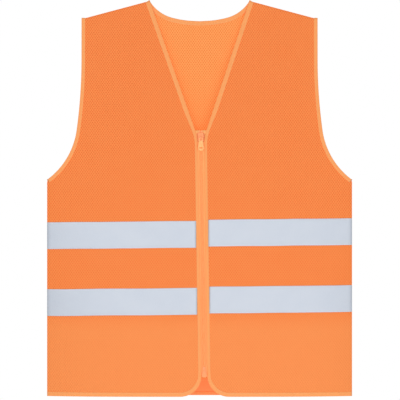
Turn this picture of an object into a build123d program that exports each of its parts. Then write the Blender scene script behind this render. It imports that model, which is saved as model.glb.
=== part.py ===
from build123d import *
import os

# A sleeveless high visibility vest with a separating front zip, upright as it hangs.
# Millimetres. X runs to the wearer's left, the front faces -Y, and Z is up.
# The origin is midway between the two neck points, where a hanger holds the shoulders.

# Overall cut of the vest
LENGTH = 740.0  # neck points down to the hem
HALF_WIDTH = 285.5  # centre out to a side seam
HEM_DEPTH = 30.0  # how far front and back each stand off the middle plane at the hem
NECK_HALF_WIDTH = 93.5
BACK_NECK_DEPTH = 38.0
BACK_NECK_ARC_END = (50.0, -31.8)  # where its wide middle arc meets the tighter side arc
SHOULDER_HALF_WIDTH = 221.0
SHOULDER_DROP = 34.0
UNDERARM_DROP = 335.0
ARMHOLE_STRAIGHT_END = -110.0  # the armhole is upright down to here
ARMHOLE_ARC_END = (230.0, -242.0)  # and where its slow arc meets the tighter underarm arc

# Front opening: the V of the neck, the zip below it, and the rounded bottom corners
V_DEPTH = 247.0  # neck points down to the top of the slider
EDGE_BEND_DROP = 257.0  # and down to where the bound edges turn from the V to the zip
V_BEND_RADIUS = 80.0
ZIP_EDGE = 5.5  # from the zip's centre line to a bound front edge
ZIP_TOP_SHIFT = 2.2  # the zip starts this far to the wearer's left of centre
ZIP_BOTTOM_SHIFT = 9.0  # and ends this far, because the front hangs slightly askew
ZIP_BOTTOM_DROP = 703.0
CORNER_RADIUS = 40.0

# Each front folds open along a vertical line that starts on the V, just inside the neck point
FOLD_X = 88.0
FOLD_GAP = 0.5

# Reflective bands
BAND_WIDTH = 50.0
BAND_DROPS = {"upper": 410.0, "lower": 535.0}  # neck points down to each band's top edge
RIGHT_BAND_SAG = 2.0  # the wearer's right front bands are sewn on this much lower
FRONT_BAND_TILT = 0.010  # and all front bands rise this much per millimetre to the wearer's left

# Bindings, as the width that shows on each face
NECK_BINDING = 8.5
FRONT_EDGE_BINDING = 7.0
ARMHOLE_BINDING = 7.0
HEM_BINDING = 7.0
BOUND_EDGE = 0.5  # binding that wraps over the raw edge of a panel
CLEARANCE = 0.05  # between a sewn layer and the next one
SEAM_ALLOWANCE = 5.0
SEAM_END_GAP = 1.0
BRIDGE_WIDTH = 4.0  # where a binding passes over a seam from front to back

# Layers, as distances out from the sheet that each panel is built on
TAPE_LAYER = (0.15, 0.65)
BINDING_LAYER = (0.70, 2.30)
PANEL_LAYER = (1.15, 1.85)
BAND_LAYER = (1.90, 2.30)

# Zip, measured along its own centre line from the top of the slider
TAPE_INNER = 1.2
TAPE_OUTER = 14.6
TAPE_ABOVE_SLIDER = 6.0
COIL_LAYER = (0.70, 3.30)
COIL_OUTER = 3.6
COIL_SPINE = 1.3
COIL_REACH = 1.0  # how far a loop crosses the centre line
COIL_PITCH = 2.0
LOOP_HEIGHT = 0.8
COIL_START = 10.5
COIL_END = 436.5
STOP_GAP = 0.3
STOP_LENGTH = 3.5
STOP_INNER = 0.5
STOP_ROUNDING = 1.0
PIN_LENGTH = 18.0  # the pins end below the post of a slider that rests on the box
PIN_INNER = 0.15
PIN_OUTER = 2.6
PIN_LAYER = (0.75, 3.15)
BOX_LENGTH = 10.0
BOX_HALF_WIDTH = 4.3
BOX_LAYER = (-0.65, 4.20)
BOX_WALL = 1.5  # floor of the retainer box, under the two pins
BOX_PLAY = 0.2
BOX_ROUNDING = 2.4
BOX_TAIL = 1.0  # how far the box hangs below the ends of the tapes

# Slider and pull tab
SLIDER_LENGTH = 17.0
SLIDER_TOP_HALF = 6.5
SLIDER_BOTTOM_HALF = 5.2
SLIDER_SHOULDER = 5.0  # its sides are parallel down to here
SLIDER_CORNER = 3.0
CAST_ROUNDING = 0.5
FRONT_PLATE = (3.45, 4.65)
BACK_PLATE = (-1.25, -0.05)
BACK_PLATE_INSET = 0.6
FLANGE_INNER = 4.3
FLANGE_BOTTOM = 1.0
FLANGE_END_GAP = 1.0
POST_HALF_WIDTH = 1.0
POST_SPAN = (-7.5, -1.0)
BRIDGE_HALF_WIDTH = 1.2
BRIDGE_SPAN = (-13.0, -6.8)
BRIDGE_LEG = 1.6
BRIDGE_TOP = 7.6
BRIDGE_BEAM = 1.0
BRIDGE_ROUNDING = 0.8
SINK = 0.2  # how far blocks of one casting run into each other
PIVOT = (-10.5, 5.5)  # down the zip, and out from it
TAB_THICKNESS = 1.2
TAB_TOP_HALF = 3.25
TAB_BOTTOM_RADIUS = 5.5
TAB_FLARE_START = -15.0
TAB_BOTTOM_CENTRE = -29.0
WINDOW_HALF_WIDTH = 1.5
WINDOW_LENGTH = 5.0
SLOT_WIDTH = 6.6
SLOT_HEIGHT = 2.0

# Sides and faces of the vest, as signs
LEFT, RIGHT = 1, -1
FRONT, BACK = -1, 1
SIDE_NAMES = {LEFT: "left", RIGHT: "right"}

# How far the blank layers and cutting shapes run past the vest
MARGIN = 5.0
FAR = 100.0


def sheet_curve(face, offset, z):
    """Bezier points across the vest at height z; they give a swell of 1 - (x / HALF_WIDTH)**4."""
    depth = -z * HEM_DEPTH / LENGTH
    swell = (0, 2, 0, 2, 0)
    return [
        (HALF_WIDTH * (i / 2 - 1), face * (offset + depth * share), z)
        for i, share in enumerate(swell)
    ]


def between(first_face, first_offset, second_face, second_offset):
    """Solid blank between two sheets, each a set distance out on the front or the back."""

    def section(z):
        first = sheet_curve(first_face, first_offset, z)
        second = sheet_curve(second_face, second_offset, z)
        return Wire(
            [
                Edge.make_bezier(*first),
                Edge.make_line(first[-1], second[-1]),
                Edge.make_bezier(*reversed(second)),
                Edge.make_line(second[0], first[0]),
            ]
        )

    return Solid.make_loft([section(MARGIN), section(-LENGTH - MARGIN)], ruled=True)


def layer(face, span, grow=0.0):
    """Blank for one layer of cloth on the front or the back, made thicker by grow on each side."""
    return between(face, span[0] - grow, face, span[1] + grow)


def cut(blank, outline):
    """The part of a blank that lies inside an outline drawn in the front view."""
    return blank & extrude(Plane.XZ * outline, amount=FAR, both=True)


def polygon(*points):
    """Flat face with straight sides, drawn in the front view."""
    return Face(Wire(Polyline(*points, close=True).edges()))


def face_within(*lines):
    """Flat face inside a closed loop of lines and arcs."""
    return Face(Wire([edge for line in lines for edge in line.edges()]))


def slab(outline, span):
    """An outline in the zip's plane, as a plate between two levels out of the zip."""
    return Pos(0, 0, span[0]) * extrude(outline, amount=span[1] - span[0], dir=(0, 0, 1))


def rectangle(left, right, bottom, top):
    """Upright rectangle in the front view, from its four sides."""
    return polygon((left, bottom), (right, bottom), (right, top), (left, top))


def mirrored(face, side):
    """The face as drawn for the wearer's left, or its mirror image for the right."""
    return face if side == LEFT else mirror(face, about=Plane.YZ)


def zip_x(drop):
    """Where the zip's centre line is, at a distance below the neck points."""
    share = (drop - V_DEPTH) / (ZIP_BOTTOM_DROP - V_DEPTH)
    return ZIP_TOP_SHIFT + share * (ZIP_BOTTOM_SHIFT - ZIP_TOP_SHIFT)


def neck_opening():
    """Everything above the back neck curve."""
    joint_x, joint_z = BACK_NECK_ARC_END
    middle, left, right = (0, -BACK_NECK_DEPTH), (-NECK_HALF_WIDTH, 0), (NECK_HALF_WIDTH, 0)
    wide = ThreePointArc((-joint_x, joint_z), middle, (joint_x, joint_z))
    right_arc = TangentArc(wide @ 1, right, tangent=wide % 1)
    left_arc = TangentArc(wide @ 0, left, tangent=-(wide % 0))
    sides = Polyline(right, (NECK_HALF_WIDTH, FAR), (-NECK_HALF_WIDTH, FAR), left)
    return face_within(wide, right_arc, left_arc, sides)


def arm_opening(side):
    """Everything outside one armhole curve."""
    tip = (SHOULDER_HALF_WIDTH, -SHOULDER_DROP)
    underarm = (HALF_WIDTH, -UNDERARM_DROP)
    upright = Line(tip, (tip[0], ARMHOLE_STRAIGHT_END))
    slow_arc = TangentArc(upright @ 1, ARMHOLE_ARC_END, tangent=upright % 1)
    underarm_arc = TangentArc(slow_arc @ 1, underarm, tangent=slow_arc % 1)
    beyond = HALF_WIDTH + FAR
    rest = Polyline(underarm, (beyond, underarm[1] - FAR), (beyond, FAR), (tip[0], FAR), tip)
    return mirrored(face_within(upright, slow_arc, underarm_arc, rest), side)


def front_edge(side):
    """One bound front edge, from the neck point down the V, beside the zip and round the corner."""
    neck = Vector(side * NECK_HALF_WIDTH, 0)
    bend = Vector(zip_x(EDGE_BEND_DROP) + side * ZIP_EDGE, -EDGE_BEND_DROP)
    foot_drop = LENGTH - CORNER_RADIUS
    foot = Vector(zip_x(foot_drop) + side * ZIP_EDGE, -foot_drop)
    hem_start = Vector(foot.X + side * CORNER_RADIUS, -LENGTH)
    down_v = (bend - neck).normalized()
    down_zip = (foot - bend).normalized()
    half_turn = down_v.get_angle(down_zip) / 2
    bend_reach = V_BEND_RADIUS * Vector(1, 0).rotate(Axis.Z, half_turn).Y
    bend_start, bend_end = bend - down_v * bend_reach, bend + down_zip * bend_reach
    return [
        Line(neck, bend_start),
        TangentArc(bend_start, bend_end, tangent=down_v),
        Line(bend_end, foot),
        TangentArc(foot, hem_start, tangent=down_zip),
        Line(hem_start, (hem_start.X, -LENGTH - FAR)),
    ]


def front_opening():
    """Everything between the two bound front edges."""
    left, right = front_edge(LEFT), front_edge(RIGHT)
    feet = Line(left[-1] @ 1, right[-1] @ 1)
    neck = NECK_HALF_WIDTH
    above = Polyline((neck, 0), (neck, FAR), (-neck, FAR), (-neck, 0))
    return face_within(*left, *right, feet, above)


def panel_outline(face, inset):
    """Back or front panel in the front view, its raw edges set in from its bound edges."""
    tip = (SHOULDER_HALF_WIDTH, -SHOULDER_DROP)
    neck = (NECK_HALF_WIDTH, 0)
    beyond = HALF_WIDTH + MARGIN
    hem = -LENGTH + inset
    outline = polygon(
        neck, tip, (beyond, -SHOULDER_DROP), (beyond, hem), (-beyond, hem),
        (-beyond, -SHOULDER_DROP), (-tip[0], tip[1]), (-neck[0], neck[1]),
    )
    middle_opening = neck_opening() if face == BACK else front_opening()
    for opening in (arm_opening(LEFT), arm_opening(RIGHT), middle_opening):
        outline -= grown(opening, inset)
    return outline


def grown(face, amount):
    """A face made larger all round, with its corners rounded off."""
    return offset(face, amount=amount) if amount else face


def column(start, end):
    """Tall strip of the front view between two values of x."""
    return rectangle(*sorted((start, end)), -LENGTH - FAR, FAR)


def outer_part(side):
    """The stretch of one front between its fold line and the side seam."""
    return column(side * (FOLD_X + FOLD_GAP / 2), side * (HALF_WIDTH + FAR))


def flap_part(side):
    """The stretch of one front between the zip and its fold line."""
    return column(zip_x((V_DEPTH + ZIP_BOTTOM_DROP) / 2), side * (FOLD_X - FOLD_GAP / 2))


def shoulder_strip(side, width):
    """Strip along one shoulder line."""
    neck, tip = (NECK_HALF_WIDTH, 0), (SHOULDER_HALF_WIDTH, -SHOULDER_DROP)
    strip = polygon(neck, tip, (tip[0], tip[1] - width), (neck[0], neck[1] - width))
    return mirrored(strip, side)


def side_strip(side, width, bottom, top):
    """Strip along one side edge."""
    low, high = sorted((side * (HALF_WIDTH - width), side * (HALF_WIDTH + MARGIN)))
    return rectangle(low, high, bottom, top)


OUTLINES = {face: panel_outline(face, 0.0) for face in (FRONT, BACK)}
RAW_OUTLINES = {face: panel_outline(face, BOUND_EDGE + CLEARANCE) for face in (FRONT, BACK)}
SLOT_OUTLINES = {face: panel_outline(face, BOUND_EDGE) for face in (FRONT, BACK)}
SLOTS = {
    face: cut(layer(face, PANEL_LAYER, grow=CLEARANCE), SLOT_OUTLINES[face])
    for face in (FRONT, BACK)
}
BRIDGE_BLANK = between(FRONT, BINDING_LAYER[0], BACK, BINDING_LAYER[0])
HEM_STRIP = rectangle(-HALF_WIDTH - FAR, HALF_WIDTH + FAR, -LENGTH, -LENGTH + HEM_BINDING)


def bound(face, strip):
    """U-shaped binding round the raw edge of a panel, along a strip of its outline."""
    return cut(layer(face, BINDING_LAYER), strip & OUTLINES[face]) - SLOTS[face]


def back_panel():
    """The back in one piece of mesh."""
    return cut(layer(BACK, PANEL_LAYER), RAW_OUTLINES[BACK])


def front_panel(region):
    """One stretch of a front of mesh."""
    return cut(layer(FRONT, PANEL_LAYER), RAW_OUTLINES[FRONT] & region)


def front_edge_binding(side):
    """One length of binding down the V, beside the zip, round the corner and along the hem."""
    strip = grown(front_opening(), FRONT_EDGE_BINDING) + HEM_STRIP
    return bound(FRONT, strip & flap_part(side))


def neck_binding():
    """Binding round the back neck and over both shoulder seams to the two fold lines."""
    around = grown(neck_opening(), NECK_BINDING)
    binding = bound(BACK, around)
    for side in (LEFT, RIGHT):
        front_end = grown(front_opening(), FRONT_EDGE_BINDING) & outer_part(side)
        over_seam = shoulder_strip(side, BRIDGE_WIDTH) & front_end & around
        binding += bound(FRONT, front_end)
        binding += cut(BRIDGE_BLANK, over_seam)
    return binding


def armhole_binding(side):
    """Binding right round one armhole, front and back."""
    around = grown(arm_opening(side), ARMHOLE_BINDING)
    over_shoulder = shoulder_strip(side, BRIDGE_WIDTH) & around
    under_arm = side_strip(side, BRIDGE_WIDTH, -LENGTH, 0) & around & OUTLINES[BACK]
    binding = bound(FRONT, around) + bound(BACK, around)
    return binding + cut(BRIDGE_BLANK, over_shoulder) + cut(BRIDGE_BLANK, under_arm)


def hem_binding():
    """Binding along the back hem and round both side seams to the two fold lines."""
    binding = bound(BACK, HEM_STRIP)
    for side in (LEFT, RIGHT):
        binding += bound(FRONT, HEM_STRIP & outer_part(side))
        binding += cut(BRIDGE_BLANK, HEM_STRIP & side_strip(side, BRIDGE_WIDTH, -LENGTH, 0))
    return binding


def seam(strip):
    """Turned-in, overlocked seam allowance between the front and the back panel."""
    inner_face = PANEL_LAYER[0] - CLEARANCE
    return cut(between(FRONT, inner_face, BACK, inner_face), strip)


def shoulder_seam(side):
    """Seam of one shoulder, from the neck binding to the armhole binding."""
    start = NECK_HALF_WIDTH + NECK_BINDING + SEAM_END_GAP
    end = SHOULDER_HALF_WIDTH - ARMHOLE_BINDING - SEAM_END_GAP
    return seam(shoulder_strip(side, SEAM_ALLOWANCE) & column(side * start, side * end))


def side_seam(side):
    """Seam of one side, from the armhole binding to the hem binding."""
    top = -UNDERARM_DROP - 2 * ARMHOLE_BINDING
    bottom = -LENGTH + HEM_BINDING + SEAM_END_GAP
    return seam(side_strip(side, SEAM_ALLOWANCE, bottom, top))


def band(face, drop, region, tilt=0.0):
    """Reflective band across a panel, its top edge a set drop below the neck points at the middle."""
    reach = HALF_WIDTH + FAR
    right_top, left_top = -drop - tilt * reach, -drop + tilt * reach
    strip = polygon(
        (-reach, right_top), (reach, left_top),
        (reach, left_top - BAND_WIDTH), (-reach, right_top - BAND_WIDTH),
    )
    return cut(layer(face, BAND_LAYER), strip & region)


def front_band(side, level, region):
    """One stretch of a front band, from the edge binding outwards."""
    drop = BAND_DROPS[level] + (RIGHT_BAND_SAG if side == RIGHT else 0)
    binding = grown(front_opening(), FRONT_EDGE_BINDING + CLEARANCE)
    return band(FRONT, drop, (OUTLINES[FRONT] & region) - binding, FRONT_BAND_TILT)


def zip_plane():
    """Plane of the zip: x across it, y up along it, and z out of the front."""
    drop = HEM_DEPTH / LENGTH
    top = Vector(zip_x(V_DEPTH), -V_DEPTH * drop, -V_DEPTH)
    bottom = Vector(zip_x(ZIP_BOTTOM_DROP), -ZIP_BOTTOM_DROP * drop, -ZIP_BOTTOM_DROP)
    up = (top - bottom).normalized()
    outward = Vector(1, 0, 0).cross(up).normalized()
    return Plane(origin=top, x_dir=up.cross(outward), z_dir=outward)


ZIP_PLANE = zip_plane()
TAPE_LENGTH = (ZIP_BOTTOM_DROP - V_DEPTH) / ZIP_PLANE.y_dir.Z
BOX_TOP = -TAPE_LENGTH + BOX_LENGTH - BOX_TAIL


def block(x_span, y_span, z_span):
    """Box in the zip's own plane, from its spans across, along and out of it."""
    low, high = zip(sorted(x_span), sorted(y_span), sorted(z_span))
    size = [b - a for a, b in zip(low, high)]
    middle = [(a + b) / 2 for a, b in zip(low, high)]
    return Pos(*middle) * Box(*size)


def zipper_tape(side):
    """Woven tape of one side, notched at the foot round the retainer box."""
    across = (side * TAPE_INNER, side * TAPE_OUTER)
    tape = block(across, (-TAPE_LENGTH, TAPE_ABOVE_SLIDER), TAPE_LAYER)
    notch_half = BOX_HALF_WIDTH + BOX_PLAY
    notch = block(
        (-notch_half, notch_half), (-TAPE_LENGTH - MARGIN, BOX_TOP + BOX_PLAY), (-MARGIN, MARGIN)
    )
    return ZIP_PLANE * (tape - notch)


def zipper_coil(side):
    """Half of the coil chain: a spine, with loops that pass between those of the other half."""
    top = -COIL_START
    first = top if side == LEFT else top - COIL_PITCH / 2
    inner, tip, outer = side * COIL_SPINE, -side * COIL_REACH, side * COIL_OUTER
    points = [(outer, top + LOOP_HEIGHT), (inner, top + LOOP_HEIGHT)]
    for i in range(int((COIL_END - COIL_START) / COIL_PITCH)):
        high = first - i * COIL_PITCH
        low = high - LOOP_HEIGHT
        points += [(inner, high), (tip, high), (tip, low), (inner, low)]
    points += [(inner, -COIL_END - LOOP_HEIGHT), (outer, -COIL_END - LOOP_HEIGHT)]
    return ZIP_PLANE * slab(polygon(*points), COIL_LAYER)


def top_stop(side):
    """Moulded stop at the top of one tape."""
    across = (side * STOP_INNER, side * COIL_OUTER)
    stop = block(across, (STOP_GAP, STOP_GAP + STOP_LENGTH), COIL_LAYER)
    return ZIP_PLANE * fillet(stop.edges().filter_by(Axis.Z), STOP_ROUNDING)


def box_pin(side):
    """Pin at the foot of one tape: the insertion pin on the left, the retainer pin on the right."""
    foot = BOX_TOP - BOX_LENGTH + BOX_WALL + BOX_PLAY
    across = (side * PIN_INNER, side * PIN_OUTER)
    return ZIP_PLANE * block(across, (foot, foot + PIN_LENGTH), PIN_LAYER)


def retainer_box():
    """Box at the foot of the right tape that holds both pins."""
    foot = BOX_TOP - BOX_LENGTH
    shell = block((-BOX_HALF_WIDTH, BOX_HALF_WIDTH), (foot, BOX_TOP), BOX_LAYER)
    bottom_corners = shell.edges().filter_by(Axis.Z).group_by(Axis.Y)[0]
    shell = fillet(bottom_corners, BOX_ROUNDING)
    pin_room = PIN_OUTER + BOX_PLAY
    depth_room = (PIN_LAYER[0] - BOX_PLAY, PIN_LAYER[1] + BOX_PLAY)
    pocket = block((-pin_room, pin_room), (foot + BOX_WALL, BOX_TOP + MARGIN), depth_room)
    return ZIP_PLANE * (shell - pocket)


def slider_plate(top_half, bottom_half, span):
    """One plate of the slider: wide shoulders that taper to its mouth."""
    foot = -SLIDER_LENGTH
    outline = polygon(
        (-top_half, 0), (top_half, 0), (top_half, -SLIDER_SHOULDER),
        (bottom_half, foot), (-bottom_half, foot), (-top_half, -SLIDER_SHOULDER),
    )
    outline = fillet(outline.vertices().group_by(Axis.Y)[-1], SLIDER_CORNER)
    return slab(outline, span)


def slider_body():
    """Cast slider: front and back plates, the post between them, flanges and the bridge."""
    front = slider_plate(SLIDER_TOP_HALF, SLIDER_BOTTOM_HALF, FRONT_PLATE)
    back_top, back_bottom = SLIDER_TOP_HALF - BACK_PLATE_INSET, SLIDER_BOTTOM_HALF - BACK_PLATE_INSET
    back = slider_plate(back_top, back_bottom, BACK_PLATE)
    front = fillet(front.faces().sort_by(Axis.Z)[-1].edges(), CAST_ROUNDING)
    back = fillet(back.faces().sort_by(Axis.Z)[0].edges(), CAST_ROUNDING)
    post_levels = (BACK_PLATE[1] - SINK, FRONT_PLATE[0] + SINK)
    post = block((-POST_HALF_WIDTH, POST_HALF_WIDTH), POST_SPAN, post_levels)
    body = front + back + post
    for side in (LEFT, RIGHT):
        across = (side * FLANGE_INNER, side * SLIDER_BOTTOM_HALF)
        along = (-SLIDER_LENGTH + FLANGE_END_GAP, -SLIDER_SHOULDER - FLANGE_END_GAP)
        body += block(across, along, (FLANGE_BOTTOM, FRONT_PLATE[0] + SINK))
    return ZIP_PLANE * (body + slider_bridge())


def slider_bridge():
    """Arch on the front plate that the pull tab hangs from."""
    across = (-BRIDGE_HALF_WIDTH, BRIDGE_HALF_WIDTH)
    low, high = BRIDGE_SPAN
    arch = block(across, BRIDGE_SPAN, (FRONT_PLATE[1] - SINK, BRIDGE_TOP))
    arch = fillet(arch.edges().filter_by(Axis.X).group_by(Axis.Z)[-1], BRIDGE_ROUNDING)
    eye_levels = (FRONT_PLATE[1], BRIDGE_TOP - BRIDGE_BEAM)
    return arch - block((-FAR, FAR), (low + BRIDGE_LEG, high - BRIDGE_LEG), eye_levels)


def pull_tab():
    """Flat pull that swings on the bridge, with a window for it and a slot near the bottom."""
    top, level = PIVOT
    half_thickness = TAB_THICKNESS / 2
    outline = polygon(
        (-TAB_TOP_HALF, top), (-TAB_TOP_HALF, TAB_FLARE_START),
        (-TAB_BOTTOM_RADIUS, TAB_BOTTOM_CENTRE), (TAB_BOTTOM_RADIUS, TAB_BOTTOM_CENTRE),
        (TAB_TOP_HALF, TAB_FLARE_START), (TAB_TOP_HALF, top),
    )
    outline += Pos(0, TAB_BOTTOM_CENTRE) * Circle(TAB_BOTTOM_RADIUS)
    outline -= Pos(0, TAB_BOTTOM_CENTRE) * SlotOverall(SLOT_WIDTH, SLOT_HEIGHT)
    plate = slab(outline, (level - half_thickness, level + half_thickness))
    bar = Pos(0, top, level) * Rot(0, 90, 0) * Cylinder(half_thickness, 2 * TAB_TOP_HALF)
    window = block(
        (-WINDOW_HALF_WIDTH, WINDOW_HALF_WIDTH),
        (top - WINDOW_LENGTH, top),
        (level - TAB_THICKNESS, level + TAB_THICKNESS),
    )
    return ZIP_PLANE * (plate - window + bar)


def all_nodes():
    """Every sub-part by name."""
    nodes = {
        "back_panel": back_panel(),
        "neck_binding": neck_binding(),
        "hem_binding": hem_binding(),
        "insertion_pin": box_pin(LEFT),
        "retainer_pin": box_pin(RIGHT),
        "retainer_box": retainer_box(),
        "slider_body": slider_body(),
        "pull_tab": pull_tab(),
    }
    for side, name in SIDE_NAMES.items():
        nodes[f"front_outer_{name}"] = front_panel(outer_part(side))
        nodes[f"front_flap_{name}"] = front_panel(flap_part(side))
        nodes[f"front_edge_binding_{name}"] = front_edge_binding(side)
        nodes[f"armhole_binding_{name}"] = armhole_binding(side)
        nodes[f"shoulder_seam_{name}"] = shoulder_seam(side)
        nodes[f"side_seam_{name}"] = side_seam(side)
        nodes[f"zipper_tape_{name}"] = zipper_tape(side)
        nodes[f"zipper_coil_{name}"] = zipper_coil(side)
        nodes[f"top_stop_{name}"] = top_stop(side)
    for level, drop in BAND_DROPS.items():
        nodes[f"back_band_{level}"] = band(BACK, drop, OUTLINES[BACK])
        for side, name in SIDE_NAMES.items():
            for part, region in (("outer", outer_part(side)), ("flap", flap_part(side))):
                nodes[f"front_band_{level}_{part}_{name}"] = front_band(side, level, region)
    return nodes


os.makedirs("parts", exist_ok=True)
for node_name, shape in all_nodes().items():
    export_step(shape, f"parts/{node_name}.step")
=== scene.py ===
import math
import bpy
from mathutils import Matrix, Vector, noise


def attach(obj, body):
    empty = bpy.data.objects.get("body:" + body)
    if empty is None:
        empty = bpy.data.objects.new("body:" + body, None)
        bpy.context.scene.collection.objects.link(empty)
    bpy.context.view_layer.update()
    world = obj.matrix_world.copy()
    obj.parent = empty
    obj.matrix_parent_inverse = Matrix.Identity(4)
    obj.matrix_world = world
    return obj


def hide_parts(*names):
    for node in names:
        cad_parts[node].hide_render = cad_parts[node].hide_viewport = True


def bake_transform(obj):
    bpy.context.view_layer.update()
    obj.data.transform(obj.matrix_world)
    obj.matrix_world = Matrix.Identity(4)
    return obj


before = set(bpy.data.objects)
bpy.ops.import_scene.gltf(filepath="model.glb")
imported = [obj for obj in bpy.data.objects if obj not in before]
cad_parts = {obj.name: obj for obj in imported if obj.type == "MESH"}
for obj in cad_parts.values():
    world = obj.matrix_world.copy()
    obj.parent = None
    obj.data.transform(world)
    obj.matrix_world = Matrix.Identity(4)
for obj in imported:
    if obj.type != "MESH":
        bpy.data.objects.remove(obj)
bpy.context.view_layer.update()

# A sleeveless high visibility vest with a front zip, in metres, upright as it hangs.
# X runs to the wearer's left, the front faces -Y, and Z is up from the hem at -LENGTH.

# Cut of the vest, as in the CAD
LENGTH = 0.740
HALF_WIDTH = 0.2855
HEM_DEPTH = 0.030  # how far front and back each stand off the middle plane at the hem
SHEET_OUT = 0.0015  # middle of the cloth, out from the sheet that it follows
NECK_HALF_WIDTH = 0.0935
BACK_NECK_DEPTH = 0.038
BACK_NECK_ARC_END = (0.050, -0.0318)
SHOULDER_HALF_WIDTH = 0.221
SHOULDER_DROP = 0.034
UNDERARM_DROP = 0.335
ARMHOLE_STRAIGHT_END = -0.110
ARMHOLE_ARC_END = (0.230, -0.242)
V_DEPTH = 0.247
EDGE_BEND_DROP = 0.257
V_BEND_RADIUS = 0.080
ZIP_EDGE = 0.0055
ZIP_TOP_SHIFT = 0.0022
ZIP_BOTTOM_SHIFT = 0.0090
ZIP_BOTTOM_DROP = 0.703
CORNER_RADIUS = 0.040
FOLD_OUTER = 0.093  # the fold bends the cloth between these two distances from the middle
FOLD_INNER = 0.083

# How the cloth lies
RIPPLE = 0.0007  # most that the hanging cloth strays from its plain shape
SEAM_REACH = 0.004  # how far from a seam the layers are still pinched together
SEAM_PINCH = 0.75  # share of SHEET_OUT that a seam takes away

# Sewn parts
BAND_WIDTH = 0.050
BAND_DROPS = {"upper": 0.410, "lower": 0.535}
RIGHT_BAND_SAG = 0.0020
FRONT_BAND_TILT = 0.010
BAND_OUT = 0.00065  # middle of a band, out from the middle of the panel
BAND_THICKNESS = 0.0003
NECK_BINDING = 0.0085
FRONT_EDGE_BINDING = 0.007
V_BINDING = 0.0083  # the front edge binding is pulled wider along the V
ZIP_BINDING = 0.0060  # narrower beside the zip
HEM_EDGE_BINDING = 0.0080  # and wider again round the corner and along the hem
ARMHOLE_BINDING = 0.007
HEM_BINDING = 0.007
BINDING_HALF = 0.0008  # half the thickness of a bound edge
TURNED_HEM = 0.030  # the back's hem is turned up inside by this much
SEAM_ALLOWANCE = 0.005
SEAM_HALF = 0.00045  # half the thickness of a seam allowance
SEAM_SET_IN = 0.0004  # of its outer edge, from the seam line
SEAM_GAP = 0.001  # between a seam allowance and a binding that ends it
THREAD_PITCH = 0.0025  # of the overlock thread
THREAD_RADIUS = 0.00018
THREAD_OUT = 0.0006  # how far it stands off the middle of the seam

# Zip
COIL_LEVELS = (0.0009, 0.0031)
COIL_REACH = 0.0009  # how far the loops pass over the centre line
COIL_OUTER = 0.0034
COIL_PITCH = 0.002
COIL_START = 0.0105
COIL_END = 0.4365
WIRE_RADIUS = 0.00038
TAPE_LEVEL = 0.0004
TAPE_SPAN = (0.0012, 0.0146)
TAPE_ABOVE = 0.0042  # the tapes are cut off just above the top stops
TAPE_THICKNESS = 0.0004
TAPE_CORD_WIDTH = 0.002  # the cord that thickens the inner edge of a tape

# Fineness of the meshes
OUTLINE_STEP = 0.004  # between the points of an outline
SHOULDER_ROW = 0.001  # between the rows of a panel at the shoulders
MIDDLE_ROW = 0.005
CORNER_ROW = 0.0015  # at the corners of the hem
FRONT_COLUMNS = 84
BACK_COLUMNS = 128
WING_COLUMNS = 48  # of each part of the back beside the neck
BACK_BAND_COLUMNS = 140
SEAM_ROW = 0.003
FOLD_STRETCH = 0.060  # extra share of the columns of a mesh that the fold gets, as a width
PANEL_INSET = 0.001  # the panels end this far inside their bound edges
NECK_INSET = 0.0005  # the back's gap below the neck edge, and at the rims of its wings

# Looks
MESH_WIDTH = 0.0046  # the lattice of the mesh repeats at this width and height
MESH_HEIGHT = 0.0066
LOWER_CLOTH = -0.62  # the mesh is a little paler below this height
CLOTH_PAINTED_GLOW = 0.08  # painted light: the cloth gives off this share of its colour as a glow, for its fluorescent dye and to lift the shade in the V and beside the zip
BACK_PAINTED_GLOW = 0.80  # painted light: the single back layer glows with this share of its colour, for the light it lets through and to lift the shade inside the V
CLOTH_ORANGE = (1.0, 0.268, 0.046)
# darker base colour of the back's cloth, under its strong painted glow
BACK_ORANGE = (0.60, 0.206, 0.0440)
SLIDER_SIDE_SHADE = (0.72, 0.135, 0.022)  # painted shade down the sides of the slider, for the shadow along its edges
SLIDER_SIDE_SHADE_START = 0.0044  # out from the zip's centre line
SLIDER_SIDE_SHADE_END = 0.0054

# Studio
FLOOR_HEIGHT = -1.06
FLOOR_RADIUS = 1.5
FLOOR_CORNERS = 48
LIGHT_SIZE = 2.2
CAMERA_DISTANCE = 7.0
FRAME_WIDTH = 0.7475  # what the picture spans at the front of the vest
FRAME_MIDDLE = (0.0008, -0.373)
FRONT_PLANE = 0.015  # the front's usual distance ahead of the middle plane

LEFT, RIGHT = 1, -1
FRONT, BACK = -1, 1
SIDE_NAMES = {LEFT: "left", RIGHT: "right"}


def smooth(value, low, high):
    """Smooth step of value from 0 at low to 1 at high."""
    share = min(1.0, max(0.0, (value - low) / (high - low)))
    return share * share * (3 - 2 * share)


def swell(x, z):
    """How far the front and back stand off the middle plane at a point of the front view."""
    return HEM_DEPTH * (-z / LENGTH) * max(0.0, 1 - (x / HALF_WIDTH) ** 4)


def zip_x(drop):
    """Where the zip's centre line is, at a distance below the neck points."""
    share = (drop - V_DEPTH) / (ZIP_BOTTOM_DROP - V_DEPTH)
    return ZIP_TOP_SHIFT + share * (ZIP_BOTTOM_SHIFT - ZIP_TOP_SHIFT)


# Outlines of the front view: lists of points (x, z)
def arc(start, end, tangent, steps):
    """Points of the circular arc from start to end that leaves start along tangent, start left out."""
    chord = end - start
    tangent = tangent.normalized()
    normal = Vector((-tangent.y, tangent.x))
    across = chord.dot(normal)
    radius = chord.length_squared / (2 * across)
    centre = start + normal * radius
    spoke = start - centre
    turn = 2 * math.atan2(across, chord.dot(tangent))
    points = []
    for i in range(1, steps + 1):
        angle = turn * i / steps
        cosine, sine = math.cos(angle), math.sin(angle)
        points.append(centre + Vector((
            spoke.x * cosine - spoke.y * sine,
            spoke.x * sine + spoke.y * cosine,
        )))
    return points


def straight(start, end, step=OUTLINE_STEP):
    """Evenly spaced points of a line, start left out."""
    count = max(1, round((end - start).length / step))
    return [start.lerp(end, i / count) for i in range(1, count + 1)]


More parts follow.
